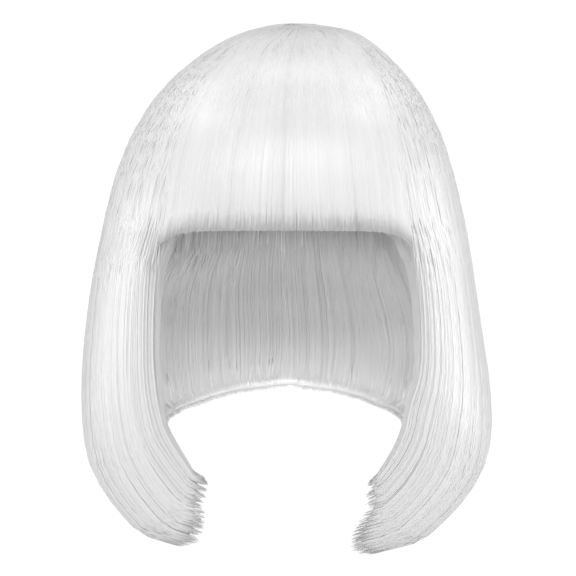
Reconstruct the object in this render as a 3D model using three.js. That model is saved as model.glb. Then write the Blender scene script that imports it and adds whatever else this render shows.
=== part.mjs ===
// A straight white bob wig: a full fringe, two long side locks that curl in under the chin,
// and a shorter back, all sewn to a plain cap. It keeps the form that a head gives it.
// Millimetres. +Z is up and the face side looks along -Y. The origin is where the crown of the
// head meets the inside of the cap. Azimuths are in degrees: 0 at the face, 90 at +X, 180 behind.
import * as THREE from "three";

const { clamp, degToRad, lerp, smoothstep } = THREE.MathUtils;

// Driving sizes of the hair, with heights measured down from the top of the crown
const WIG_WIDTH = 248;
const FRONT_REACH = 112;
const BACK_REACH = 127;
const FRINGE_DROP = 128;
const FRINGE_CORNER_DROP = 139;
const CORNER_SHARPNESS = 8;
const NAPE_DROP = 224;
const LEFT_LOCK_DROP = 312;
const RIGHT_LOCK_DROP = 316.5;

// How far the ends turn in, as shares of the reach where they hang: the side locks across the
// face, and from front to back both they and the nape
const LEFT_CURL = 0.5;
const RIGHT_CURL = 0.62;
const NAPE_CURL = 0.15;
const LOCK_TUCK = 0.24;

// Thickness of the hair over the crown and where it is fullest
const CROWN_DEPTH = 11.6;
const SIDE_DEPTH = 24.5;
const FRINGE_HEM_DEPTH = 7;
const THINNEST_HAIR = 2;

// The cap under the hair
const CAP_WALL = 2;
const CAP_DROP = 112;
const CAP_COLUMNS = 48;
const SEAM_GAP = 0.4;

// Where the sections of hair part: the back from the side locks, and the crown from the rest
const BACK_EDGE_AZIMUTH = 118;
const CROWN_EDGE_STATION = 0.44;

// Stations down the hair, from the whorl over the dome to the fringe's hem and on to the tips
const FRINGE_HEM = 1;
const TIPS = 2;

// Locks: ribs that run from the crown to the tips
const LOCK_WIDTH = 19;
const GROOVE_DEPTH = 1.5;
const SIDE_TIP_NOTCH = 7;
const BACK_TIP_NOTCH = 2.5;
const FRINGE_TIP_NOTCH = 2;
const LOCK_EDGE_ROLL = 11;
const LOCK_EDGE_WIDTH = 26;

const HALF_WIDTH = WIG_WIDTH / 2;
const CROWN_RISE = CROWN_DEPTH + SEAM_GAP + CAP_WALL;
const RING_SQUARENESS = 2.4;

const HAIR_LOOK = { color: 0xf1f1f3, roughness: 0.35, metalness: 0 };
const CAP_LOOK = { color: 0xe4e4e6, roughness: 0.8, metalness: 0 };

// Cross sections at stations down the hair. drop is a share of FRINGE_DROP; side, lean and dip
// of HALF_WIDTH; front of FRONT_REACH; back of BACK_REACH; fallen of the fall from the fringe's
// hem to the tips; curled of the full turn of the ends. The thick columns are shares of the way
// from CROWN_DEPTH (0) to SIDE_DEPTH (1).
const SECTIONS = readTable(
  "station drop side front back lean dip fallen curled thickFront thickSide thickBack",
  [
    [0.0, 0.02, 0.0, 0.161, -0.142, 0.02, 0.0, 0.0, 0.0, 0.0, 0.0, 0.0],
    [0.125, 0.028, 0.122, 0.313, -0.008, 0.05, 0.042, 0.0, 0.0, 0.0, 0.03, 0.02],
    [0.25, 0.053, 0.25, 0.482, 0.157, 0.062, 0.052, 0.0, 0.0, 0.03, 0.11, 0.07],
    [0.375, 0.11, 0.366, 0.643, 0.331, 0.047, 0.052, 0.0, 0.0, 0.07, 0.26, 0.19],
    [0.5, 0.218, 0.511, 0.795, 0.535, 0.028, 0.04, 0.0, 0.0, 0.11, 0.46, 0.34],
    [0.625, 0.355, 0.64, 0.902, 0.717, 0.012, 0.024, 0.0, 0.0, 0.15, 0.65, 0.53],
    [0.75, 0.537, 0.749, 0.964, 0.858, 0.001, 0.008, 0.0, 0.0, 0.19, 0.81, 0.69],
    [0.875, 0.75, 0.828, 0.994, 0.949, -0.008, 0.0, 0.0, 0.0, 0.19, 0.92, 0.81],
    [1.0, 1.0, 0.888, 1.0, 0.994, -0.01, 0.0, 0.0, 0.0, 0.19, 1.0, 0.88],
    [1.15, 1.0, 0.93, 0.99, 1.0, -0.014, 0.0, 0.16, 0.0, 0.02, 0.73, 0.58],
    [1.3, 1.0, 0.963, 0.975, 0.99, -0.012, 0.0, 0.32, 0.0, 0.06, 0.42, 0.3],
    [1.45, 1.0, 0.988, 0.965, 0.965, -0.004, 0.0, 0.48, 0.0, 0.07, 0.22, 0.11],
    [1.6, 1.0, 0.998, 0.955, 0.935, 0.004, 0.0, 0.64, 0.02, 0.03, 0.15, 0.03],
    [1.7, 1.0, 1.0, 0.95, 0.91, 0.004, 0.0, 0.745, 0.09, 0.0, 0.1, -0.03],
    [1.8, 1.0, 1.0, 0.945, 0.89, 0.004, 0.0, 0.845, 0.27, -0.02, 0.06, -0.08],
    [1.87, 1.0, 1.0, 0.942, 0.876, 0.004, 0.0, 0.912, 0.45, -0.1, -0.06, -0.17],
    [1.93, 1.0, 1.0, 0.94, 0.865, 0.004, 0.0, 0.96, 0.62, -0.22, -0.2, -0.28],
    [2.0, 1.0, 1.0, 0.935, 0.855, 0.004, 0.0, 1.0, 1.0, -0.42, -0.42, -0.45],
  ],
);

// Round the head from the face to the nape: how long the hair falls, as a share of the way from
// NAPE_DROP (0) to the side lock's own drop (1), and how much of the lock's curl its ends have.
const COMBING = readTable("azimuth length curl", [
  [0, 0.46, 0.6],
  [30, 0.57, 0.66],
  [42, 0.82, 0.92],
  [52, 0.94, 1.0],
  [62, 0.985, 0.97],
  [75, 1.0, 0.88],
  [90, 0.89, 0.8],
  [105, 0.63, 0.65],
  [120, 0.37, 0.42],
  [135, 0.21, 0.2],
  [150, 0.13, 0.07],
  [165, 0.05, 0.01],
  [180, 0.0, 0.0],
]);

// Front edge of the left and the right side lock, from the crown to the tips: its azimuth, and
// how much of the edge's roll it has where it hangs free below the fringe.
const FACE_EDGE = readTable("station left right leftRoll rightRoll", [
  [0, 34.5, 36, 0, 0],
  [0.5, 34.5, 36, 0, 0],
  [0.97, 35, 36.5, 0, 0],
  [1, 35, 36.5, 0, 0],
  [1.06, 38.4, 40, 0.8, 0.7],
  [1.15, 38.4, 41.2, 1, 0.85],
  [1.3, 37.3, 40.6, 1, 0.8],
  [1.45, 36, 37.4, 1, 0.8],
  [1.6, 34.1, 32.3, 1, 0.95],
  [1.7, 32.6, 31.5, 1, 1],
  [1.85, 31, 31, 0.9, 0.9],
  [2, 30, 30, 0.7, 0.7],
]);

// Reads a table whose first column is the place, as one smooth curve for each other column.
function readTable(header, rows) {
  const [, ...names] = header.split(/\s+/);
  const places = rows.map(([place]) => place);
  const values = rows.flatMap(([, ...rest]) => rest);
  const curve = new THREE.CubicInterpolant(places, values, names.length);
  return (place) => {
    const found = curve.evaluate(place);
    return Object.fromEntries(names.map((name, i) => [name, found[i]]));
  };
}

// Azimuth as -180 to 180.
function signed(azimuth) {
  return azimuth > 180 ? azimuth - 360 : azimuth;
}

// Side lock sizes on the side of the head that this azimuth is on.
function lockOn(azimuth) {
  return signed(azimuth) < 0
    ? { drop: LEFT_LOCK_DROP, curl: LEFT_CURL }
    : { drop: RIGHT_LOCK_DROP, curl: RIGHT_CURL };
}

// Sine or cosine of an azimuth on a ring that is a little squarer than a circle.
function squared(value) {
  return Math.sign(value) * Math.abs(value) ** (2 / RING_SQUARENESS);
}

// Point on the outer face of the hair.
function hairPoint(azimuth, station) {
  const section = SECTIONS(station);
  const comb = COMBING(Math.abs(signed(azimuth)));
  const lock = lockOn(azimuth);
  const across = squared(Math.sin(degToRad(azimuth)));
  const ahead = squared(Math.cos(degToRad(azimuth)));
  const front = FRONT_REACH * section.front;
  const back = BACK_REACH * section.back;
  const openAcross = 1 - lerp(NAPE_CURL, lock.curl, comb.curl) * section.curled;
  const openAhead = 1 - lerp(NAPE_CURL, LOCK_TUCK, comb.curl) * section.curled;
  const hemDrop = lerp(NAPE_DROP, lock.drop, comb.length);
  const fall = section.fallen * (hemDrop - FRINGE_DROP);
  const dip = (HALF_WIDTH * section.dip * ahead) / 2;
  return new THREE.Vector3(
    HALF_WIDTH * (section.lean + section.side * across * openAcross),
    (back - front) / 2 - ((front + back) / 2) * ahead * openAhead,
    CROWN_RISE - FRINGE_DROP * section.drop - dip - fall,
  );
}

// Steps over which slopes of the outer face are measured
const AZIMUTH_STEP = 0.5;
const STATION_STEP = 0.01;

// Unit vector from the outer face into the hair.
function inward(azimuth, station) {
  const place = clamp(station, 4 * STATION_STEP, TIPS - STATION_STEP);
  const [left, right] = [azimuth - AZIMUTH_STEP, azimuth + AZIMUTH_STEP];
  const across = hairPoint(right, place).sub(hairPoint(left, place));
  const [above, below] = [place - STATION_STEP, place + STATION_STEP];
  const down = hairPoint(azimuth, below).sub(hairPoint(azimuth, above));
  return station === 0 ? new THREE.Vector3(0, 0, -1) : across.cross(down).normalize();
}

// Thickness of the hair from its outer face to its inner face.
function hairDepth(azimuth, station) {
  const section = SECTIONS(station);
  const ahead = Math.cos(degToRad(azimuth));
  const end = ahead > 0 ? section.thickFront : section.thickBack;
  const share = lerp(section.thickSide, end, ahead * ahead);
  return lerp(CROWN_DEPTH, SIDE_DEPTH, share);
}

// Point at a depth under the outer face.
function buried(azimuth, station, depth) {
  return hairPoint(azimuth, station).addScaledVector(inward(azimuth, station), depth);
}

// A closed sheet on a grid of columns and stations, with place(column, row, inner) for its two
// faces. A ring wraps round and has its pole at the first station.
function closedSheet(columnCount, rowCount, ring, place) {
  const [points, triangles] = [[], []];
  const faces = [false, true].map((inner) =>
    Array.from({ length: rowCount }, (_, row) => {
      const isPole = ring && row === 0;
      const made = Array.from({ length: isPole ? 1 : columnCount }, (_, column) =>
        points.push(place(column, row, inner)) - 1,
      );
      return (column) => made[isPole ? 0 : column % columnCount];
    }),
  );
  const quad = (a, b, c, d) => {
    for (const triangle of [[a, b, c], [a, c, d]]) {
      if (new Set(triangle).size === 3) triangles.push(...triangle);
    }
  };
  const [outer, inner] = faces;
  const spans = ring ? columnCount : columnCount - 1;
  const last = rowCount - 1;
  for (let column = 0; column < spans; column += 1) {
    for (let row = 0; row < last; row += 1) {
      const [o, n] = [outer[row], outer[row + 1]];
      quad(o(column), n(column), n(column + 1), o(column + 1));
      const [p, q] = [inner[row], inner[row + 1]];
      quad(p(column), p(column + 1), q(column + 1), q(column));
    }
    quad(outer[last](column), inner[last](column), inner[last](column + 1), outer[last](column + 1));
    if (!ring) quad(outer[0](column), outer[0](column + 1), inner[0](column + 1), inner[0](column));
  }
  for (let row = 0; row < last && !ring; row += 1) {
    quad(outer[row](0), inner[row](0), inner[row + 1](0), outer[row + 1](0));
    quad(outer[row](spans), outer[row + 1](spans), inner[row + 1](spans), inner[row](spans));
  }
  const geometry = new THREE.BufferGeometry().setFromPoints(points);
  geometry.setIndex(triangles);
  geometry.computeVertexNormals();
  return geometry;
}

// Length of the hair's path for a whole station, at one place on it.
function pace(azimuth, station) {
  const above = hairPoint(azimuth, station - STATION_STEP);
  return hairPoint(azimuth, station).distanceTo(above) / STATION_STEP;
}

// Azimuth that spans a distance across the hair, at one place on it.
function azimuthFor(distance, azimuth, station) {
  const left = hairPoint(azimuth - AZIMUTH_STEP, station);
  const right = hairPoint(azimuth + AZIMUTH_STEP, station);
  return (distance / right.distanceTo(left)) * 2 * AZIMUTH_STEP;
}

// Station at which the dome has come down to a drop.
function domeStation(drop) {
  let [above, below] = [0, FRINGE_HEM];
  for (let halving = 0; halving < 20; halving += 1) {
    const middle = (above + below) / 2;
    if (SECTIONS(middle).drop * FRINGE_DROP < drop) above = middle;
    else below = middle;
  }
  return below;
}

const CAP_EDGE_STATION = domeStation(CAP_DROP);
const CROWN_STATIONS = [0, 0.07, 0.15, 0.25, 0.35, CROWN_EDGE_STATION];
const LOWER_SHARES = [0.2, 0.42, 0.64, 0.84, 1];
const LOWER_STATIONS = LOWER_SHARES.map((share) =>
  lerp(CROWN_EDGE_STATION, CAP_EDGE_STATION, share),
);
const FALL_STATIONS = [1, 1.06, 1.15, 1.3, 1.45, 1.6, 1.7, 1.8, 1.88, 1.94];
const COLUMNS_PER_LOCK = 3;
const RING_GIRTH = Math.PI * (HALF_WIDTH + (FRONT_REACH + BACK_REACH) / 2);

// Number of locks that lie side by side over a span of azimuth.
function lockCount(span) {
  return Math.max(2, Math.round((RING_GIRTH * span) / 360 / LOCK_WIDTH));
}

// A column is a groove where one lock meets the next, and a crest elsewhere.
function grooveAt(column) {
  return column % COLUMNS_PER_LOCK === 0 ? GROOVE_DEPTH : 0;
}

// How much shorter a column is than the longest tip, from 0 to 1: all of it in a groove, and a
// share that wanders from lock to lock elsewhere.
function tipTrim(column) {
  const [evenest, unevenest] = [0.1, 0.6];
  const wander = 0.5 + 0.5 * Math.sin(column * column);
  return grooveAt(column) ? 1 : lerp(evenest, unevenest, wander);
}

// How far the outer face rolls in near the free front edge of a side lock.
function edgeRoll(azimuth, station) {
  const edge = FACE_EDGE(station);
  const [start, roll] = azimuth < 0 ? [edge.left, edge.leftRoll] : [edge.right, edge.rightRoll];
  const reach = azimuthFor(LOCK_EDGE_WIDTH, azimuth, station);
  const near = clamp(1 - (Math.abs(azimuth) - start) / reach, 0, 1);
  return LOCK_EDGE_ROLL * roll * (1 - Math.sqrt(1 - near * near));
}

// A section of hair between two edges, given as azimuths at a station, from the crown's edge to
// its hem. fall lists the stations between the cap's edge and the hem, hem gives the last one at
// a share of the way across, and notch is how deep the gaps between the tips are.
function hairSection({ from, to, fall, hem, notch, roll = () => 0, thin = () => 0 }) {
  const columns = lockCount(to(FRINGE_HEM) - from(FRINGE_HEM)) * COLUMNS_PER_LOCK;
  const topStation = CROWN_EDGE_STATION + SEAM_GAP / pace(from(0), CROWN_EDGE_STATION);
  const stations = [topStation, ...LOWER_STATIONS, ...fall];
  return closedSheet(columns + 1, stations.length + 1, false, (column, row, inner) => {
    const share = column / columns;
    const across = (station, seam) =>
      lerp(from(station) + seam, to(station) - seam, share);
    const longest = hem(share);
    const trim = (notch * tipTrim(column)) / pace(across(longest, 0), longest);
    const station = row < stations.length ? stations[row] : longest - trim;
    const azimuth = across(station, azimuthFor(SEAM_GAP / 2, across(station, 0), station));
    const surface = grooveAt(column) + roll(signed(azimuth), station);
    const lining = hairDepth(azimuth, station) - thin(station);
    return buried(azimuth, station, inner ? Math.max(lining, surface + THINNEST_HAIR) : surface);
  });
}

// The fringe, from the crown to the brow, thinned to a light hem under the cap's edge.
function makeFringe() {
  const hem = (share) => {
    const corner = (2 * share - 1) ** CORNER_SHARPNESS;
    return FRINGE_HEM + (corner * (FRINGE_CORNER_DROP - FRINGE_DROP)) / pace(0, FRINGE_HEM);
  };
  const thin = (station) => {
    const share = smoothstep(station, CAP_EDGE_STATION, FRINGE_HEM);
    return share * (hairDepth(0, FRINGE_HEM) - FRINGE_HEM_DEPTH);
  };
  const from = (station) => -FACE_EDGE(Math.min(station, FRINGE_HEM)).left;
  const to = (station) => FACE_EDGE(Math.min(station, FRINGE_HEM)).right;
  const fall = [(CAP_EDGE_STATION + FRINGE_HEM) / 2];
  return hairSection({ from, to, fall, hem, notch: FRINGE_TIP_NOTCH, thin });
}

// A side lock, from its rear edge behind the ear to its free front edge beside the face.
function makeSideLock(side) {
  const front = (station) => (side < 0 ? -FACE_EDGE(station).left : FACE_EDGE(station).right);
  const rear = () => side * BACK_EDGE_AZIMUTH;
  const [from, to] = side < 0 ? [rear, front] : [front, rear];
  const hem = () => TIPS;
  return hairSection({
    from, to, fall: FALL_STATIONS, hem, notch: SIDE_TIP_NOTCH, roll: edgeRoll,
  });
}

// The back hair, down to the nape.
function makeBackHair() {
  const from = () => BACK_EDGE_AZIMUTH;
  const to = () => 360 - BACK_EDGE_AZIMUTH;
  const hem = () => TIPS;
  return hairSection({ from, to, fall: FALL_STATIONS, hem, notch: BACK_TIP_NOTCH });
}

// The crown, where all the hair springs from one whorl.
function makeCrown() {
  const columns = lockCount(360) * COLUMNS_PER_LOCK;
  const lowest = CROWN_STATIONS.length - 1;
  return closedSheet(columns, CROWN_STATIONS.length, true, (column, row, inner) => {
    const azimuth = (360 * column) / columns;
    const station = CROWN_STATIONS[row];
    const outer = grooveAt(column) * (row / lowest) ** 2;
    return buried(azimuth, station, inner ? hairDepth(azimuth, station) : outer);
  });
}

// The plain cap that carries the hair and fits the head.
function makeCap() {
  const stations = [...CROWN_STATIONS, ...LOWER_STATIONS];
  return closedSheet(CAP_COLUMNS, stations.length, true, (column, row, inner) => {
    const azimuth = (360 * column) / CAP_COLUMNS;
    const depth = hairDepth(azimuth, stations[row]) + SEAM_GAP;
    return buried(azimuth, stations[row], inner ? depth + CAP_WALL : depth);
  });
}

// A named mesh with a material of its own.
function part(name, geometry, look) {
  const mesh = new THREE.Mesh(geometry, new THREE.MeshStandardMaterial(look));
  mesh.name = name;
  return mesh;
}

const wig = new THREE.Group();
wig.name = "bob_wig";
wig.add(
  part("cap", makeCap(), CAP_LOOK),
  part("crown", makeCrown(), HAIR_LOOK),
  part("fringe", makeFringe(), HAIR_LOOK),
  part("side_lock_left", makeSideLock(-1), HAIR_LOOK),
  part("side_lock_right", makeSideLock(1), HAIR_LOOK),
  part("back_hair", makeBackHair(), HAIR_LOOK),
);

export default wig;
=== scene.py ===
"""Looks of a straight white bob wig: its strands, cap, studio and camera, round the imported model.

Lengths are in metres unless a name or a table says otherwise. +Z is up and the face side looks
along -Y. Azimuths are in degrees: 0 at the face, 90 at +X, 180 behind. Stations run down the
hair: 0 at the whorl, 1 at the fringe's hem and 2 at the tips.
"""
import math

import bpy
import numpy as np
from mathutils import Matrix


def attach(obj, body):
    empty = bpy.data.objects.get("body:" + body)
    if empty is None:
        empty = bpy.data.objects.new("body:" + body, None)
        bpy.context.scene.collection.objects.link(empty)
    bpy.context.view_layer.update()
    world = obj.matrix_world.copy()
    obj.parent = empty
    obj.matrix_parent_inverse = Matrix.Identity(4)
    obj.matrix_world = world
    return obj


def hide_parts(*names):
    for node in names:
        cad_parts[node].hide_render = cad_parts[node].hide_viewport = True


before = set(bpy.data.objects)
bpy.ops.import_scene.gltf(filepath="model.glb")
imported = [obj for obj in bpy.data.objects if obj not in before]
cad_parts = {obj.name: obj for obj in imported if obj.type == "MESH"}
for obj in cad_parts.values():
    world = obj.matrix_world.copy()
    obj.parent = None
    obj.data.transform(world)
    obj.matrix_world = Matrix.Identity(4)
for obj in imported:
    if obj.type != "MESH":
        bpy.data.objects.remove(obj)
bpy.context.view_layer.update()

MM = 0.001

# Driving sizes of the hair, as in the solids
HALF_WIDTH = 124 * MM
FRONT_REACH = 112 * MM
BACK_REACH = 127 * MM
FRINGE_DROP = 128 * MM
FRINGE_CORNER_DROP = 139 * MM
CORNER_SHARPNESS = 8
NAPE_DROP = 224 * MM
LEFT_LOCK_DROP = 312 * MM
RIGHT_LOCK_DROP = 316.5 * MM
LEFT_CURL = 0.5
RIGHT_CURL = 0.62
NAPE_CURL = 0.15
LOCK_TUCK = 0.24
CROWN_DEPTH = 11.6 * MM
SIDE_DEPTH = 24.5 * MM
FRINGE_HEM_DEPTH = 7 * MM
CAP_WALL = 2 * MM
CAP_EDGE_STATION = 0.937
SEAM_GAP = 0.4 * MM
RING_SQUARENESS = 2.4
BACK_EDGE_AZIMUTH = 118
CROWN_EDGE_STATION = 0.44
LOCK_EDGE_ROLL = 11 * MM
LOCK_EDGE_WIDTH = 26 * MM
CROWN_RISE = CROWN_DEPTH + SEAM_GAP + CAP_WALL

# Stations of the fringe's hem and of the tips
FRINGE_HEM = 1
TIPS = 2

# Camera: level, this far in front of the origin, and as far below the top of the hair
CAMERA_DISTANCE = 1.5
CAMERA_DROP = 159.6 * MM
CAMERA_SIDE = 0.9 * MM
PHOTO_FIELD = 345.6 * MM
SENSOR = 36

# Cross sections at stations down the hair. drop is a share of FRINGE_DROP; side, lean and dip
# of HALF_WIDTH; front of FRONT_REACH; back of BACK_REACH; fallen of the fall from the fringe's
# hem to the tips; curled of the full turn of the ends. The thick columns are shares of the way
# from CROWN_DEPTH (0) to SIDE_DEPTH (1).
SECTIONS = (
    "station drop side front back lean dip fallen curled thick_front thick_side thick_back",
    [
        [0.0, 0.02, 0.0, 0.161, -0.142, 0.02, 0.0, 0.0, 0.0, 0.0, 0.0, 0.0],
        [0.125, 0.028, 0.122, 0.313, -0.008, 0.05, 0.042, 0.0, 0.0, 0.0, 0.03, 0.02],
        [0.25, 0.053, 0.25, 0.482, 0.157, 0.062, 0.052, 0.0, 0.0, 0.03, 0.11, 0.07],
        [0.375, 0.11, 0.366, 0.643, 0.331, 0.047, 0.052, 0.0, 0.0, 0.07, 0.26, 0.19],
        [0.5, 0.218, 0.511, 0.795, 0.535, 0.028, 0.04, 0.0, 0.0, 0.11, 0.46, 0.34],
        [0.625, 0.355, 0.64, 0.902, 0.717, 0.012, 0.024, 0.0, 0.0, 0.15, 0.65, 0.53],
        [0.75, 0.537, 0.749, 0.964, 0.858, 0.001, 0.008, 0.0, 0.0, 0.19, 0.81, 0.69],
        [0.875, 0.75, 0.828, 0.994, 0.949, -0.008, 0.0, 0.0, 0.0, 0.19, 0.92, 0.81],
        [1.0, 1.0, 0.888, 1.0, 0.994, -0.01, 0.0, 0.0, 0.0, 0.19, 1.0, 0.88],
        [1.15, 1.0, 0.93, 0.99, 1.0, -0.014, 0.0, 0.16, 0.0, 0.02, 0.73, 0.58],
        [1.3, 1.0, 0.963, 0.975, 0.99, -0.012, 0.0, 0.32, 0.0, 0.06, 0.42, 0.3],
        [1.45, 1.0, 0.988, 0.965, 0.965, -0.004, 0.0, 0.48, 0.0, 0.07, 0.22, 0.11],
        [1.6, 1.0, 0.998, 0.955, 0.935, 0.004, 0.0, 0.64, 0.02, 0.03, 0.15, 0.03],
        [1.7, 1.0, 1.0, 0.95, 0.91, 0.004, 0.0, 0.745, 0.09, 0.0, 0.1, -0.03],
        [1.8, 1.0, 1.0, 0.945, 0.89, 0.004, 0.0, 0.845, 0.27, -0.02, 0.06, -0.08],
        [1.87, 1.0, 1.0, 0.942, 0.876, 0.004, 0.0, 0.912, 0.45, -0.1, -0.06, -0.17],
        [1.93, 1.0, 1.0, 0.94, 0.865, 0.004, 0.0, 0.96, 0.62, -0.22, -0.2, -0.28],
        [2.0, 1.0, 1.0, 0.935, 0.855, 0.004, 0.0, 1.0, 1.0, -0.42, -0.42, -0.45],
    ],
)

# Round the head from the face to the nape: how long the hair falls, as a share of the way from
# NAPE_DROP (0) to the side lock's own drop (1), and how much of the lock's curl its ends have.
COMBING = (
    "azimuth length curl",
    [
        [0, 0.46, 0.6],
        [30, 0.57, 0.66],
        [42, 0.82, 0.92],
        [52, 0.94, 1.0],
        [62, 0.985, 0.97],
        [75, 1.0, 0.88],
        [90, 0.89, 0.8],
        [105, 0.63, 0.65],
        [120, 0.37, 0.42],
        [135, 0.21, 0.2],
        [150, 0.13, 0.07],
        [165, 0.05, 0.01],
        [180, 0.0, 0.0],
    ],
)

# Front edge of the left and the right side lock, from the crown to the tips: its azimuth, and
# how much of the edge's roll it has where it hangs free below the fringe.
FACE_EDGE = (
    "station left right left_roll right_roll",
    [
        [0, 34.5, 36, 0, 0],
        [0.5, 34.5, 36, 0, 0],
        [0.97, 35, 36.5, 0, 0],
        [1, 35, 36.5, 0, 0],
        [1.06, 38.4, 40, 0.8, 0.7],
        [1.15, 38.4, 41.2, 1, 0.85],
        [1.3, 37.3, 40.6, 1, 0.8],
        [1.45, 36, 37.4, 1, 0.8],
        [1.6, 34.1, 32.3, 1, 0.95],
        [1.7, 32.6, 31.5, 1, 1],
        [1.85, 31, 31, 0.9, 0.9],
        [2, 30, 30, 0.7, 0.7],
    ],
)

# Steps over which slopes of the outer face are measured, and how near the whorl they are taken
AZIMUTH_STEP = 0.5
STATION_STEP = 0.01
WHORL_MARGIN = 4 * STATION_STEP

# Strands: flat three-sided rods, widest in the middle, whose crest faces out of the hair. Their
# roots come up from below, and LAYERS is the thickness over which they lie. Where they go on
# past LONG_STATION, the rings of vertices crowd towards the tips.
STRAND_SIDES = 3
STRAND_FLATNESS = 0.3
STRAND_HALF_WIDTHS = (0.3 * MM, 0.55 * MM)
STRAND_SINK = 0.25 * MM
LAYERS = 0.6 * MM
ROOT_TAPER = 0.5
ROOT_DIVE = 1.2 * MM
ROOT_RISE = 0.1
TIP_TAPER = 0.22
TIP_LENGTH = 9 * MM
LONG_STATION = 1.5
END_CROWDING = 0.45

# Side-by-side locks and wisps, and how the strands gather into them, sway and drift. Cells are
# those of smooth random fields: a width across the hair, and a number down it.
CLUMP_SPREAD = (0.5, 1.5)
LOCK_WIDTH = 19 * MM
LOCK_GATHER = 0.07
LOCK_GATHER_POWER = 3
WISP_WIDTH = 3.5 * MM
WISP_GATHER = 0.2
OWN_GATHER = 1.6
SWAY = 1.5 * MM
SWAY_CELL = 25 * MM
SWAY_CELLS_DOWN = 6
DRIFT = 0.5 * MM
DRIFT_CELLS_DOWN = 12

# The strands of neighbouring sections mix at their seams, and part over PARTED_RUN above
# PARTED_STATION
SEAM_SPREAD = 2.5 * MM
PARTED_STATION = 0.97
PARTED_RUN = 0.17

# Relief of the outer face: grooves between locks, and waves
GROOVE_DEPTH = 0.35 * MM
GROOVE_SHARPNESS = 4
RELIEF_DEPTH = 0.4 * MM
RELIEF_CELL = 6 * MM
RELIEF_CELLS_DOWN = 5

# Ends of the strands: notched at the edges of wisps and locks, and frayed. Those on the free
# edge of a lock begin within EDGE_SPAN of it, most of them close to it.
WISP_NOTCH = 0.7
WISP_NOTCH_POWER = 2
LOCK_NOTCH_POWER = 3
FRAY_POWER = 2
EDGE_SPAN = 3 * MM
EDGE_CROWDING = 2

# Shades of white: the outer strands have the first four, the inner strands the last (painted shade)
HAIR_WHITES = [0.9, 0.88, 0.855, 0.81, 0.7]
SHADES = 4
CORE_SHADE = 2
# The inner strands' darker white is painted shade of the hollow inside the hair
INNER_PAINTED_SHADE = 4
TONE_CELL = 4 * MM
TONE_CELLS_DOWN = 1
TONE_CHANCE = 0.5

# Closed bodies under the strands
CORE_TOP = 0.42
CORE_COLUMNS = 60
CORE_SINK = 1.2 * MM
CORE_TRIM = 2 * MM
CORE_INSET = 1.4 * MM
THINNEST_CORE = 0.8 * MM

# Crown: strands that begin between the whorl and the crown's edge, and end past that edge
CROWN_STRANDS = 4000
CROWN_RINGS = 8
CROWN_HALF_WIDTHS = (0.25 * MM, 0.5 * MM)
FIRST_ROOT = 0.001
LAST_ROOT = CROWN_EDGE_STATION - ROOT_RISE
WHORL_STATION = 0.03
WHORL_SHARE = 0.12
CROWN_OVERLAP = 0.14
LEAST_OVERLAP = CROWN_OVERLAP / 5
TIP_DIVE = 1.3 * MM
TIP_SINK_RUN = 0.12
COMBED_STATION = 0.28
CROWN_SWAY = 4
CROWN_FIELD_SCALE = 2
CROWN_SWAY_CELLS = (60, 8)
CROWN_RELIEF_CELLS = (120, 6)
CROWN_TONE_CELLS = (40, 1)
DOME_COLUMNS = 120
DOME_ROWS = 16
DOME_OVERLAP = 0.02
DOME_EDGE = CORE_TOP + DOME_OVERLAP

# Cap: a wall with fine ribs on both faces
CAP_COLUMNS = 150
CAP_ROWS = 70
NET_RELIEF = 0.15 * MM

# Fringe, side locks and back: width across, how deep their ends are notched, how much their
# strands gather, and rows of the closed body
FRINGE_WIDTH = 125 * MM
FRINGE_NOTCH = 0.5 * MM
FRINGE_GATHER = 0.12
FRINGE_CORE_ROWS = 24
FRINGE_CORE_END = 0.975
SIDE_WIDTH = 180 * MM
SIDE_NOTCH = 5 * MM
SIDE_GATHER = 1
SIDE_CORE_ROWS = 50
BACK_WIDTH = 250 * MM
BACK_NOTCH = 0.8 * MM
BACK_GATHER = 0.25
BACK_CORE_ROWS = 44

# Layers of strands in each section: where they lie, how many there are, rings of vertices in
# each, the stations between which they begin, and how far their ends fray
FRINGE_LAYERS = [
    ("outer", 2000, 12, (0.26, 0.35), 0.8 * MM),
    ("within", 600, 8, (0.7, 0.8), 1.2 * MM),
]
SIDE_LAYERS = [
    ("outer", 1000, 22, (0.26, 0.35), 6 * MM),
    ("edge", 160, 18, (0.9, 1.0), 8 * MM),
    ("inner", 300, 14, (0.92, 1.0), 6 * MM),
]
BACK_LAYERS = [
    ("outer", 1100, 19, (0.26, 0.35), 1.5 * MM),
    ("inner", 550, 12, (0.85, 0.93), 1.5 * MM),
    ("within", 600, 5, (1.75, 1.85), 1.5 * MM),
]

# The right lock's ends: cut back at its front edge and longer behind that, between these
# shares of its width
RIGHT_FRONT_TRIM = 7 * MM
RIGHT_REAR_TRIM = -2 * MM
RIGHT_TRIM_TURN = (0, 0.22)
RIGHT_TRIM_FADE = (0.3, 0.5)

# Looks
PLAIN_IOR = 1.5
HAIR_ROUGHNESS = 0.27
HAIR_IOR = 1.9
CAP_CLOTH = (0.8, 0.8, 0.81)
CAP_ROUGHNESS = 0.95

# Studio: a floor, and plain white all round that light sees dimmer than the camera does
FLOOR_HEIGHT = -0.36
FLOOR_RADIUS = 6
FLOOR_VERTICES = 96
FLOOR_COLOUR = (0.9, 0.9, 0.9)
FLOOR_ROUGHNESS = 0.9
FLOOR_GLOW = 0.06
WORLD_LIGHT = 0.46
SEEN_WHITE = 1.05

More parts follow.
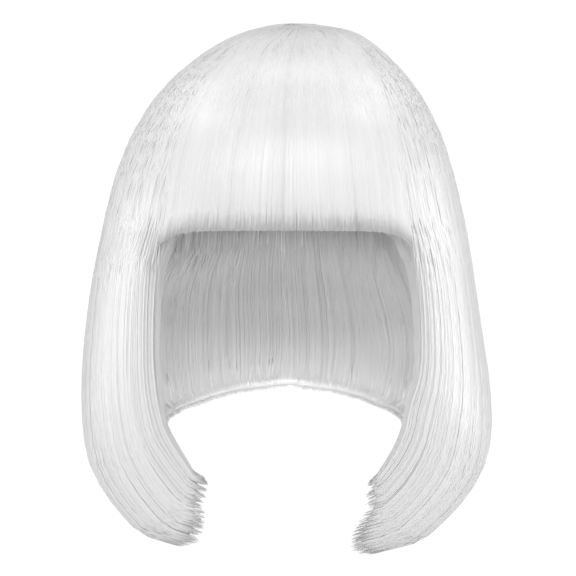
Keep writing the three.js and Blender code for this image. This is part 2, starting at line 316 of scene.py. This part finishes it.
# Soft boxes: size, power in watts, azimuth and elevation; each faces the middle of the hair
WIG_MIDDLE = (0, 0, -145 * MM)
BOX_DISTANCE = 2.1
SOFT_BOXES = [
    ("band", (2.2, 0.15), 8, 0, 17),
    ("key", (0.4, 0.2), 1.5, 0, 9),
    ("left_front", (0.6, 0.3), 3.0, -50, 36),
    ("right_front", (0.6, 0.3), 3.0, 50, 36),
    ("top", (1.0, 1.0), 4, 0, 75),
    ("left_top", (0.8, 0.8), 4, -80, 50),
    ("right_top", (0.8, 0.8), 4, 80, 50),
    ("left_side", (0.8, 0.8), 6, -90, 5),
    ("right_side", (0.8, 0.8), 8, 90, 5),
]

# A small light in the hollow that shines on the inside of the nape
FILL_SIZE = (0.13, 0.02)
FILL_POWER = 0.045
FILL_PLACE = (0, 30 * MM, -205 * MM)
FILL_TARGET = (0, 110 * MM, -200 * MM)

SEED = 27
rng = np.random.default_rng(SEED)


def curve_of(table):
    """A function from a place to a dict of the table's other columns, as smooth curves."""
    header, rows = table
    names = header.split()[1:]
    places, values = np.array(rows)[:, 0], np.array(rows)[:, 1:]
    last = len(places) - 1

    def at(place):
        place = np.asarray(place, float)
        i = np.clip(np.searchsorted(places, place, side="right") - 1, 0, last - 1)
        before = np.where(i == 0, i + 1, i - 1)
        after = np.where(i == last - 1, i, np.minimum(i + 2, last))
        start, stop = places[i], places[i + 1]
        half = (stop - start) / 2
        w_before = half / (start - places[before])
        w_after = half / (places[after] - stop)
        p = (place - start) / (stop - start)
        shares = [
            (before, w_before * (-(p**3) + 2 * p**2 - p)),
            (i, (1 + w_before) * p**3 - (1.5 + 2 * w_before) * p**2 + (w_before - 0.5) * p + 1),
            (i + 1, -(1 + w_after) * p**3 + (1.5 + w_after) * p**2 + 0.5 * p),
            (after, w_after * (p**3 - p**2)),
        ]
        found = sum(share[..., None] * values[k] for k, share in shares)
        return {name: found[..., j] for j, name in enumerate(names)}

    return at


section_at = curve_of(SECTIONS)
combing_at = curve_of(COMBING)
face_edge_at = curve_of(FACE_EDGE)


def mix(a, b, share):
    return a + (b - a) * share


def smooth_step(x, low, high):
    t = np.clip((x - low) / (high - low), 0, 1)
    return t * t * (3 - 2 * t)


def unit(v):
    return v / np.linalg.norm(v, axis=-1, keepdims=True)


def signed(azimuth):
    return np.where(azimuth > 180, azimuth - 360, azimuth)


def squared(value):
    """Sine or cosine of an azimuth on a ring that is a little squarer than a circle."""
    return np.sign(value) * np.abs(value) ** (2 / RING_SQUARENESS)


def hair_point(azimuth, station):
    """Points on the outer face of the hair."""
    azimuth, station = np.broadcast_arrays(azimuth, station)
    section = section_at(station)
    comb = combing_at(np.abs(signed(azimuth)))
    left = signed(azimuth) < 0
    lock_curl = np.where(left, LEFT_CURL, RIGHT_CURL)
    lock_drop = np.where(left, LEFT_LOCK_DROP, RIGHT_LOCK_DROP)
    turn = np.radians(azimuth)
    across, ahead = squared(np.sin(turn)), squared(np.cos(turn))
    front, back = FRONT_REACH * section["front"], BACK_REACH * section["back"]
    open_across = 1 - mix(NAPE_CURL, lock_curl, comb["curl"]) * section["curled"]
    open_ahead = 1 - mix(NAPE_CURL, LOCK_TUCK, comb["curl"]) * section["curled"]
    fall = section["fallen"] * (mix(NAPE_DROP, lock_drop, comb["length"]) - FRINGE_DROP)
    dip = HALF_WIDTH * section["dip"] * ahead / 2
    x = HALF_WIDTH * (section["lean"] + section["side"] * across * open_across)
    y = (back - front) / 2 - (front + back) / 2 * ahead * open_ahead
    z = CROWN_RISE - FRINGE_DROP * section["drop"] - dip - fall
    return np.stack([x, y, z], -1)


def outward(azimuth, station):
    """Unit vectors out of the hair's outer face."""
    place = np.clip(station, WHORL_MARGIN, TIPS - STATION_STEP)
    right, left = azimuth + AZIMUTH_STEP, azimuth - AZIMUTH_STEP
    across = hair_point(right, place) - hair_point(left, place)
    below, above = place + STATION_STEP, place - STATION_STEP
    down = hair_point(azimuth, below) - hair_point(azimuth, above)
    return unit(np.cross(down, across))


def hair_depth(azimuth, station):
    """Thickness of the hair from its outer face to its inner face."""
    section = section_at(station)
    ahead = np.cos(np.radians(azimuth))
    end = np.where(ahead > 0, section["thick_front"], section["thick_back"])
    return mix(CROWN_DEPTH, SIDE_DEPTH, mix(section["thick_side"], end, ahead**2))


def per_degree(azimuth, station):
    """Distance across the hair for one degree of azimuth."""
    left = hair_point(azimuth - AZIMUTH_STEP, station)
    right = hair_point(azimuth + AZIMUTH_STEP, station)
    return np.linalg.norm(right - left, axis=-1) / (2 * AZIMUTH_STEP)


def edge_roll(azimuth, station):
    """How far the outer face rolls in near the free front edge of a side lock."""
    edge = face_edge_at(station)
    left = signed(azimuth) < 0
    start = np.where(left, edge["left"], edge["right"])
    roll = np.where(left, edge["left_roll"], edge["right_roll"])
    inside = (np.abs(signed(azimuth)) - start) * per_degree(azimuth, station)
    near = np.clip(1 - inside / LOCK_EDGE_WIDTH, 0, 1)
    return LOCK_EDGE_ROLL * roll * (1 - np.sqrt(1 - near**2))


def from_zero(value):
    """A value between -1 and 1 as one between 0 and 1."""
    return 0.5 + 0.5 * value


def wandering(across, along, ring=False):
    """A smooth random field over a share across and a station, from -1 to 1, with that many
    cells across and along. On a ring it meets itself at share 1."""
    values = rng.uniform(-1, 1, (across + 2, along + 2))
    if ring:
        values[across:] = values[:2]

    def at(share, station):
        u = np.clip(share, 0, 1) * across
        v = np.clip(station / TIPS, 0, 1) * along
        i, j = np.floor(u).astype(int), np.floor(v).astype(int)
        p, q = u - i, v - j
        p, q = p * p * (3 - 2 * p), q * q * (3 - 2 * q)
        upper = mix(values[i, j], values[i + 1, j], p)
        lower = mix(values[i, j + 1], values[i + 1, j + 1], p)
        return mix(upper, lower, q)

    return at


NO_TRIANGLES = np.zeros((1, 0, 3), int)


class Pile:
    """Closed bodies gathered for one mesh, each with the number of its shade of white."""

    def __init__(self):
        self.points = []
        self.quads = []
        self.triangles = []
        self.shades = []
        self.sides = []
        self.count = 0

    def add(self, points, quads, triangles, shades, sides=-1):
        """quads and triangles have a row for each body, and shades a number for each. sides
        numbers each point of a strand's ring, from 0 at its crest, or is -1 elsewhere."""
        self.points.append(points.reshape(-1, 3))
        self.quads.append(quads.reshape(-1, 4) + self.count)
        self.triangles.append(triangles.reshape(-1, 3) + self.count)
        shades = np.broadcast_to(shades, quads.shape[:1])
        of_quads = np.repeat(shades, quads.shape[1])
        of_triangles = np.repeat(shades, triangles.shape[1])
        self.shades.append((of_quads, of_triangles))
        self.sides.append(np.broadcast_to(sides, points.shape[:-1]).ravel())
        self.count += len(self.points[-1])

    def make(self, name, materials):
        points = np.concatenate(self.points)
        quads, triangles = np.concatenate(self.quads), np.concatenate(self.triangles)
        corners = np.concatenate([quads.ravel(), triangles.ravel()])
        sizes = np.concatenate([np.full(len(quads), 4), np.full(len(triangles), 3)])
        shades = np.concatenate([of[0] for of in self.shades] + [of[1] for of in self.shades])
        mesh = bpy.data.meshes.new(name)
        mesh.vertices.add(len(points))
        mesh.vertices.foreach_set("co", points.ravel())
        mesh.loops.add(len(corners))
        mesh.loops.foreach_set("vertex_index", corners)
        mesh.polygons.add(len(sizes))
        mesh.polygons.foreach_set("loop_start", np.cumsum(sizes) - sizes)
        mesh.polygons.foreach_set("loop_total", sizes)
        mesh.polygons.foreach_set("use_smooth", np.ones(len(sizes), bool))
        for material in materials:
            mesh.materials.append(material)
        mesh.polygons.foreach_set("material_index", shades)
        mesh.update(calc_edges=True)
        ends = np.empty(len(mesh.edges) * 2, np.int32)
        mesh.edges.foreach_get("vertices", ends)
        sides = np.concatenate(self.sides)[ends.reshape(-1, 2)]
        sharp = (sides[:, 0] == sides[:, 1]) & (sides[:, 0] > 0)
        mesh.attributes.new("sharp_edge", "BOOLEAN", "EDGE").data.foreach_set("value", sharp)
        mesh.validate()
        piece = bpy.data.objects.new(name, mesh)
        bpy.context.collection.objects.link(piece)
        return piece


def grid_faces(rows, columns, closed):
    """Quads of a grid of vertices, rows by columns, whose columns may join up in a ring."""
    i, j = np.meshgrid(np.arange(rows - 1), np.arange(columns - (not closed)), indexing="ij")
    right = (j + 1) % columns
    corners = [i * columns + j, i * columns + right]
    corners += [(i + 1) * columns + right, (i + 1) * columns + j]
    return np.stack(corners, -1).reshape(-1, 4)


def buried(azimuth, station, depth):
    """Points at a depth under the outer face."""
    return hair_point(azimuth, station) - outward(azimuth, station) * depth[..., None]


def pace(azimuth, station):
    """Length of the hair's path for a whole station."""
    above = hair_point(azimuth, station - STATION_STEP)
    return np.linalg.norm(hair_point(azimuth, station) - above, axis=-1) / STATION_STEP


def add_strands(pile, azimuth, station, depth, half_width, shade, facing=1):
    """Closed strands along rows of places under the outer face. facing is 1 for strands on the
    outer face of the hair and -1 for strands on the inner face."""
    centre = buried(azimuth, station, depth)
    out = outward(azimuth, station) * facing
    along = unit(np.gradient(centre, axis=1))
    across = unit(np.cross(along, out))
    out = np.cross(across, along)
    run = np.linalg.norm(np.diff(centre, axis=1), axis=-1)
    left = np.cumsum(run[:, ::-1], axis=1)[:, ::-1]
    left = np.concatenate([left, np.zeros_like(left[:, :1])], axis=1)
    ending = mix(TIP_TAPER, 1, smooth_step(left, 0, TIP_LENGTH))
    rooted = mix(ROOT_TAPER, 1, smooth_step(left[:, :1] - left, 0, TIP_LENGTH))
    width = half_width[:, None] * ending * rooted
    turn = 2 * math.pi * np.arange(STRAND_SIDES) / STRAND_SIDES
    offset = (np.cos(turn)[:, None] * STRAND_FLATNESS * out[:, :, None]
              + np.sin(turn)[:, None] * across[:, :, None])
    points = centre[:, :, None] + offset * width[:, :, None, None]
    count, rings = azimuth.shape
    first = np.arange(count)[:, None] * rings * STRAND_SIDES
    quads = first[..., None] + grid_faces(rings, STRAND_SIDES, True)
    last_ring = (rings - 1) * STRAND_SIDES
    caps = np.array([[0, 2, 1], [last_ring, last_ring + 1, last_ring + 2]])
    triangles = first[..., None] + caps
    pile.add(points, quads, triangles, shade, np.arange(STRAND_SIDES))


def add_core(pile, azimuth, station, outer_depth, inner_depth, shade):
    """A closed body on a grid of columns across the hair and rows down it."""
    outer = buried(azimuth, station, outer_depth)
    inner = buried(azimuth, station, inner_depth)
    ring = np.concatenate([outer, inner[:, ::-1]], axis=1)
    columns, around = ring.shape[:2]
    sides = grid_faces(columns, around, True)
    ends = []
    for start, order in ((0, 1), ((columns - 1) * around, -1)):
        for row in range(around // 2 - 1):
            corners = [row, row + 1, around - 2 - row, around - 1 - row]
            ends.append([start + k for k in corners][::order])
    quads = np.concatenate([sides, np.array(ends)])
    pile.add(ring[None], quads[None], NO_TRIANGLES, shade)


def nothing(place):
    return 0 * place


def no_roll(azimuth, station):
    return np.zeros(np.broadcast(azimuth, station).shape)


def fringe_across(share, station):
    """Azimuths from the left edge of the fringe, at share 0, to its right edge."""
    edge = face_edge_at(np.minimum(station, FRINGE_HEM))
    return mix(-edge["left"], edge["right"], share)


def fringe_hem(share):
    """Last stations of the fringe, which hangs lower at its corners."""
    corner = (2 * share - 1) ** CORNER_SHARPNESS
    return FRINGE_HEM + corner * (FRINGE_CORNER_DROP - FRINGE_DROP) / pace(0, FRINGE_HEM)


def fringe_thinning(station):
    """How much thinner the fringe gets below the cap's edge."""
    whole = hair_depth(0, FRINGE_HEM)
    return smooth_step(station, CAP_EDGE_STATION, FRINGE_HEM) * (whole - FRINGE_HEM_DEPTH)


def lock_across(side):
    """Azimuths from the free front edge of a side lock, at share 0, to its rear edge."""
    def across(share, station):
        edge = face_edge_at(station)["left" if side < 0 else "right"]
        return side * mix(edge, BACK_EDGE_AZIMUTH, share)
    return across


def right_trim(share):
    """The right lock's ends are cut back at its front edge and hang on further round."""
    trim = mix(RIGHT_FRONT_TRIM, RIGHT_REAR_TRIM, smooth_step(share, *RIGHT_TRIM_TURN))
    return trim * (1 - smooth_step(share, *RIGHT_TRIM_FADE))


def back_across(share, station):
    return mix(BACK_EDGE_AZIMUTH, 360 - BACK_EDGE_AZIMUTH, share) + 0 * station


def hem_at_tips(share):
    return TIPS + 0 * share


def clumps(mean_share):
    """Edges of side-by-side clumps of uneven width over a share from 0 to 1, and past it."""
    steps = rng.uniform(*CLUMP_SPREAD, int(2 + 2 / mean_share)) * mean_share
    edges = np.concatenate([[0], np.cumsum(steps)])
    return edges / edges[np.searchsorted(edges, 1)]


def in_clump(edges, share):
    """Centre of each strand's clump, and the strand's place in it from -1 to 1."""
    k = np.clip(np.searchsorted(edges, share, side="right") - 1, 0, len(edges) - 2)
    centre, half = (edges[k] + edges[k + 1]) / 2, (edges[k + 1] - edges[k]) / 2
    return centre, (share - centre) / half


def shades_of(tones, share):
    """Number of each strand's shade: darker where its neighbours are, and by chance."""
    level = from_zero(tones(share, 0 * share))
    level = mix(level, rng.random(share.shape), TONE_CHANCE)
    return np.minimum(SHADES * level, SHADES - 1).astype(int)


class Section:
    """A section of hair: its azimuths across, its length and how its strands gather."""

    def __init__(self, across, hem, notch, gather, width, roll=no_roll, thin=nothing,
                 trim=nothing, parted=PARTED_STATION, core_end=TIPS):
        self.across = across
        self.hem = hem
        self.notch = notch
        self.gather = gather
        self.width = width
        self.roll = roll
        self.thin = thin
        self.trim = trim
        self.parted = parted
        self.core_end = core_end
        self.locks = clumps(LOCK_WIDTH / width)
        self.wisps = clumps(WISP_WIDTH / width)
        self.sway = wandering(int(width / SWAY_CELL), SWAY_CELLS_DOWN)
        self.drift = wandering(int(width / WISP_WIDTH), DRIFT_CELLS_DOWN)
        self.relief = wandering(int(width / RELIEF_CELL), RELIEF_CELLS_DOWN)
        self.tones = wandering(int(width / TONE_CELL), TONE_CELLS_DOWN)

    def longest(self):
        return float(np.max(self.hem(np.linspace(0, 1, CORE_COLUMNS))))

    def thickness(self, azimuth, station):
        return hair_depth(azimuth, station) - self.thin(station)

    def lane(self, share, station):
        """Shares across, as each strand sways and gathers with its wisp and its lock."""
        share = share[:, None]
        lock_centre, _ = in_clump(self.locks, share)
        wisp_centre, _ = in_clump(self.wisps, share)
        grown = smooth_step(station, CROWN_EDGE_STATION, self.longest())
        own = OWN_GATHER * rng.random(share.shape)
        to_wisp = WISP_GATHER * self.gather * own * grown
        to_lock = LOCK_GATHER * self.gather * own * grown**LOCK_GATHER_POWER
        share = mix(share, wisp_centre, np.minimum(1, to_wisp))
        share = mix(share, lock_centre, np.minimum(1, to_lock))
        sway = SWAY * self.sway(share, station) + DRIFT * self.drift(share, station)
        return np.clip(share + sway * grown / self.width, 0, 1)

    def groove(self, share, station):
        """How far the outer strands sink between two locks and in the waves, but not at a seam."""
        _, place = in_clump(self.locks, share[:, None])
        waves = from_zero(self.relief(share[:, None], station))
        inner = smooth_step(np.minimum(share, 1 - share), 0, SEAM_SPREAD / self.width)[:, None]
        return inner * (GROOVE_DEPTH * np.abs(place) ** GROOVE_SHARPNESS + RELIEF_DEPTH * waves)

    def ends(self, share, fray):
        """Last stations of strands: shorter at the edges of their locks, and frayed."""
        _, place = in_clump(self.wisps, share)
        _, lock_place = in_clump(self.locks, share)
        notched = WISP_NOTCH * np.abs(place) ** WISP_NOTCH_POWER
        notched = notched + (1 - WISP_NOTCH) * np.abs(lock_place) ** LOCK_NOTCH_POWER
        frayed = fray * rng.random(len(share)) ** FRAY_POWER
        short = self.notch * notched + frayed + self.trim(share)
        hem = self.hem(share)
        return hem - short / pace(self.across(share, hem), hem)

    def ring_places(self, rings):
        """Places of the rings along a strand, closer together near the tips of long ones."""
        place = np.linspace(0, 1, rings)
        if self.longest() > LONG_STATION:
            place = place + END_CROWDING * np.sin(math.pi * place) / math.pi
        return place

    def strand_depth(self, face, share, azimuth, station, run):
        """Depth of each ring under the outer face. run is how far it is from its root."""
        layer = rng.random(len(share))[:, None]
        whole = self.thickness(azimuth, station)
        rolled = self.roll(azimuth, station)
        surface = np.minimum(rolled + self.groove(share, station), whole / 2)
        if face == "edge":
            return mix(rolled + STRAND_SINK, whole - STRAND_SINK, layer)
        if face == "within":
            return mix(surface + LAYERS, whole - STRAND_SINK, layer)
        if face == "inner":
            return np.maximum(whole - STRAND_SINK - LAYERS * layer, surface + STRAND_SINK)
        emerging = ROOT_DIVE * (1 - smooth_step(run, 0, ROOT_RISE))
        return surface + LAYERS * layer + emerging + STRAND_SINK

    def strands(self, pile, face, count, rings, start, fray):
        """Strands from stations between the two in start. face is "outer", "inner", "edge" at
        share 0, or "within" for strands anywhere in the thickness."""
        share = (np.arange(count) + rng.random(count)) / count
        if face == "edge":
            share = EDGE_SPAN * rng.random(count) ** EDGE_CROWDING / self.width
        begin = rng.uniform(*start, count)[:, None]
        station = mix(begin, self.ends(share, fray)[:, None], self.ring_places(rings))
        apart = smooth_step(station, self.parted - PARTED_RUN, self.parted)
        spread = SEAM_SPREAD * (1 - apart) / self.width
        azimuth = self.across(self.lane(share, station) * (1 + 2 * spread) - spread, station)
        depth = self.strand_depth(face, share, azimuth, station, station - begin)
        half_width = rng.uniform(*STRAND_HALF_WIDTHS, count)
        if face == "inner":
            # The inner strands take the darker white, painted shade of the hollow
            add_strands(pile, azimuth, station, depth, half_width, INNER_PAINTED_SHADE, facing=-1)
        else:
            add_strands(pile, azimuth, station, depth, half_width, shades_of(self.tones, share))

    def core(self, pile, rows):
        """The closed body under the strands."""
        share = np.linspace(0, 1, CORE_COLUMNS)
        hem = self.hem(share)
        trim = CORE_TRIM + self.notch + self.trim(share)
        hem = hem - trim / pace(self.across(share, hem), hem)
        end = np.minimum(hem, self.core_end)[:, None]
        station = mix(CORE_TOP, end, np.linspace(0, 1, rows))
        inset = CORE_INSET / self.width
        azimuth = self.across(mix(inset, 1 - inset, share)[:, None], station)
        whole = self.thickness(azimuth, station)
        surface = self.roll(azimuth, station) + self.groove(share, station) + CORE_SINK
        lining = np.maximum(whole - CORE_SINK, surface + THINNEST_CORE)
        add_core(pile, azimuth, station, surface, lining, CORE_SHADE)


def section_builder(section, core_rows, layers):
    """A function that puts a section's closed body and its layers of strands in a pile."""
    def build(pile):
        section.core(pile, core_rows)
        for layer in layers:
            section.strands(pile, *layer)
    return build


def add_dome(pile, columns, rows, edge, shade, depths):
    """A closed dome round the whorl, down to a station. depths gives its outer and its inner
    depth from the hair's thickness and from a rib that is 0 or 1 in turn."""
    azimuth = 360 * np.arange(columns)[:, None] / columns
    azimuth, station = np.broadcast_arrays(azimuth, np.linspace(0, edge, rows))
    rib = (np.arange(columns)[:, None] + np.arange(rows)) % 2
    outer, inner = depths(hair_depth(azimuth, station), rib)
    outer = buried(azimuth, station, outer + 0 * azimuth)
    inner = buried(azimuth, station, inner)
    ring = np.concatenate([outer, inner[:, ::-1]], axis=1)
    quads = grid_faces(columns + 1, 2 * rows, True) % (columns * 2 * rows)
    pile.add(ring[None], quads[None], NO_TRIANGLES, shade)


def crown_places():
    """Azimuth, first station and last station of each strand of the crown."""
    count = CROWN_STRANDS
    azimuth = 360 * (np.arange(count) + rng.random(count)) / count
    rng.shuffle(azimuth)
    begin = rng.uniform(WHORL_STATION, LAST_ROOT, count)
    whorl = int(count * WHORL_SHARE)
    begin[:whorl] = rng.uniform(FIRST_ROOT, WHORL_STATION, whorl)
    end = CROWN_EDGE_STATION + rng.uniform(LEAST_OVERLAP, CROWN_OVERLAP, count)
    return azimuth[:, None], begin[:, None], end[:, None]


def crown_core_depths(whole, rib):
    return CORE_SINK + RELIEF_DEPTH, whole - CORE_SINK


def build_crown(pile):
    """Strands that spring from the whorl, and the closed dome under them."""
    azimuth, begin, end = crown_places()
    station = mix(begin, end, np.linspace(0, 1, CROWN_RINGS))
    finer = station * CROWN_FIELD_SCALE
    combed = 1 - smooth_step(station, COMBED_STATION, CROWN_EDGE_STATION)
    sway = wandering(*CROWN_SWAY_CELLS, ring=True)(azimuth / 360, finer)
    lane = azimuth + CROWN_SWAY * sway * station * combed
    relief = from_zero(wandering(*CROWN_RELIEF_CELLS, ring=True)(lane / 360 % 1, finer)) * combed
    layer = rng.random(CROWN_STRANDS)[:, None]
    rooted = begin > WHORL_STATION
    emerging = rooted * (1 - smooth_step(station - begin, 0, ROOT_RISE))
    grown = smooth_step(station, 0, CROWN_EDGE_STATION / 2)
    depth = STRAND_SINK + LAYERS * layer + RELIEF_DEPTH * relief * grown + ROOT_DIVE * emerging
    depth = depth + TIP_DIVE * smooth_step(station - end, -TIP_SINK_RUN, 0)
    half_width = rng.uniform(*CROWN_HALF_WIDTHS, CROWN_STRANDS)
    tones = wandering(*CROWN_TONE_CELLS, ring=True)
    add_strands(pile, lane, station, depth, half_width, shades_of(tones, azimuth[:, 0] / 360))
    add_dome(pile, DOME_COLUMNS, DOME_ROWS, DOME_EDGE, CORE_SHADE, crown_core_depths)


def cap_depths(whole, rib):
    outer = whole + SEAM_GAP
    return outer + NET_RELIEF * rib, outer + CAP_WALL - NET_RELIEF * rib


def build_cap(pile):
    """The plain wall of the cap, ribbed as finely as elastic net."""
    add_dome(pile, CAP_COLUMNS, CAP_ROWS, CAP_EDGE_STATION, 0, cap_depths)


fringe = Section(fringe_across, fringe_hem, FRINGE_NOTCH, FRINGE_GATHER, FRINGE_WIDTH,
                 thin=fringe_thinning, parted=TIPS, core_end=FRINGE_CORE_END)
left_lock = Section(lock_across(-1), hem_at_tips, SIDE_NOTCH, SIDE_GATHER, SIDE_WIDTH,
                    roll=edge_roll)
right_lock = Section(lock_across(1), hem_at_tips, SIDE_NOTCH, SIDE_GATHER, SIDE_WIDTH,
                     roll=edge_roll, trim=right_trim)
back = Section(back_across, hem_at_tips, BACK_NOTCH, BACK_GATHER, BACK_WIDTH)


def make_material(name, colour, roughness, ior=PLAIN_IOR):
    material = bpy.data.materials.new(name)
    material.use_nodes = True
    shader = material.node_tree.nodes["Principled BSDF"]
    shader.inputs["Base Color"].default_value = (*colour, 1)
    shader.inputs["Roughness"].default_value = roughness
    shader.inputs["IOR"].default_value = ior
    return material


hair_materials = [
    make_material(f"white_fibre_{i}", (white, white, white), HAIR_ROUGHNESS, HAIR_IOR)
    for i, white in enumerate(HAIR_WHITES)
]
cap_materials = [make_material("cap_cloth", CAP_CLOTH, CAP_ROUGHNESS)]
HAIR = ("strands", "white_fibre", hair_materials)
CLOTH = ("net", "cap_cloth", cap_materials)
NODES = {
    "cap": (build_cap, CLOTH),
    "crown": (build_crown, HAIR),
    "fringe": (section_builder(fringe, FRINGE_CORE_ROWS, FRINGE_LAYERS), HAIR),
    "side_lock_left": (section_builder(left_lock, SIDE_CORE_ROWS, SIDE_LAYERS), HAIR),
    "side_lock_right": (section_builder(right_lock, SIDE_CORE_ROWS, SIDE_LAYERS), HAIR),
    "back_hair": (section_builder(back, BACK_CORE_ROWS, BACK_LAYERS), HAIR),
}
for node, (build, (suffix, slot, materials)) in NODES.items():
    pile = Pile()
    build(pile)
    piece = pile.make(f"{node}_{suffix}", materials)
    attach(piece, "root")
    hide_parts(node)

world = bpy.data.worlds.new("studio")
bpy.context.scene.world = world
world.use_nodes = True
world.node_tree.nodes["Background"].inputs["Color"].default_value = (1, 1, 1, 1)
world.node_tree.nodes["Background"].inputs["Strength"].default_value = WORLD_LIGHT


def show_white(tree, shader, socket, output):
    """Let the camera see plain white where light sees the shader."""
    white = tree.nodes.new("ShaderNodeEmission")
    white.inputs["Strength"].default_value = SEEN_WHITE
    path = tree.nodes.new("ShaderNodeLightPath")
    blend = tree.nodes.new("ShaderNodeMixShader")
    tree.links.new(path.outputs["Is Camera Ray"], blend.inputs["Fac"])
    tree.links.new(tree.nodes[shader].outputs[socket], blend.inputs[1])
    tree.links.new(white.outputs["Emission"], blend.inputs[2])
    tree.links.new(blend.outputs["Shader"], tree.nodes[output].inputs["Surface"])


show_white(world.node_tree, "Background", "Background", "World Output")

bpy.ops.mesh.primitive_circle_add(vertices=FLOOR_VERTICES, radius=FLOOR_RADIUS,
                                  fill_type="NGON", location=(0, 0, FLOOR_HEIGHT))
floor = bpy.context.object
floor.name = "floor"
floor_material = make_material("pale_floor", FLOOR_COLOUR, FLOOR_ROUGHNESS)
glow = floor_material.node_tree.nodes["Principled BSDF"].inputs
glow["Emission Color"].default_value = (1, 1, 1, 1)
glow["Emission Strength"].default_value = FLOOR_GLOW
show_white(floor_material.node_tree, "Principled BSDF", "BSDF", "Material Output")
floor.data.materials.append(floor_material)


def polar(azimuth, elevation):
    """A place round the middle of the hair; azimuth 0 is in front and 90 at +X."""
    turn, rise = math.radians(azimuth), math.radians(elevation)
    flat = BOX_DISTANCE * math.cos(rise)
    x, y = flat * math.sin(turn), -flat * math.cos(turn)
    z = BOX_DISTANCE * math.sin(rise)
    return (WIG_MIDDLE[0] + x, WIG_MIDDLE[1] + y, WIG_MIDDLE[2] + z)


def aim(thing, target):
    """Turn a light or camera so that it faces a place."""
    from_place = np.array(thing.location)
    across = np.array(target) - from_place
    flat = math.hypot(across[0], across[1])
    thing.rotation_euler = (math.atan2(flat, -across[2]), 0, math.atan2(-across[0], across[1]))


def add_light(name, size, power, place, target):
    lamp = bpy.data.lights.new(name, "AREA")
    lamp.shape = "RECTANGLE"
    lamp.size, lamp.size_y = size
    lamp.energy = power
    box = bpy.data.objects.new(name, lamp)
    box.location = place
    box.visible_camera = False
    aim(box, target)
    bpy.context.collection.objects.link(box)


for name, size, power, azimuth, elevation in SOFT_BOXES:
    add_light(name, size, power, polar(azimuth, elevation), WIG_MIDDLE)
add_light("nape_fill", FILL_SIZE, FILL_POWER, FILL_PLACE, FILL_TARGET)

camera_data = bpy.data.cameras.new("camera")
camera_data.sensor_width = SENSOR
camera_data.lens = SENSOR * CAMERA_DISTANCE / PHOTO_FIELD
camera = bpy.data.objects.new("camera", camera_data)
camera.location = (CAMERA_SIDE, -CAMERA_DISTANCE, CROWN_RISE - CAMERA_DROP)
camera.rotation_euler = (math.pi / 2, 0, 0)
bpy.context.collection.objects.link(camera)
bpy.context.scene.camera = camera
bpy.context.scene.view_settings.view_transform = "Standard"
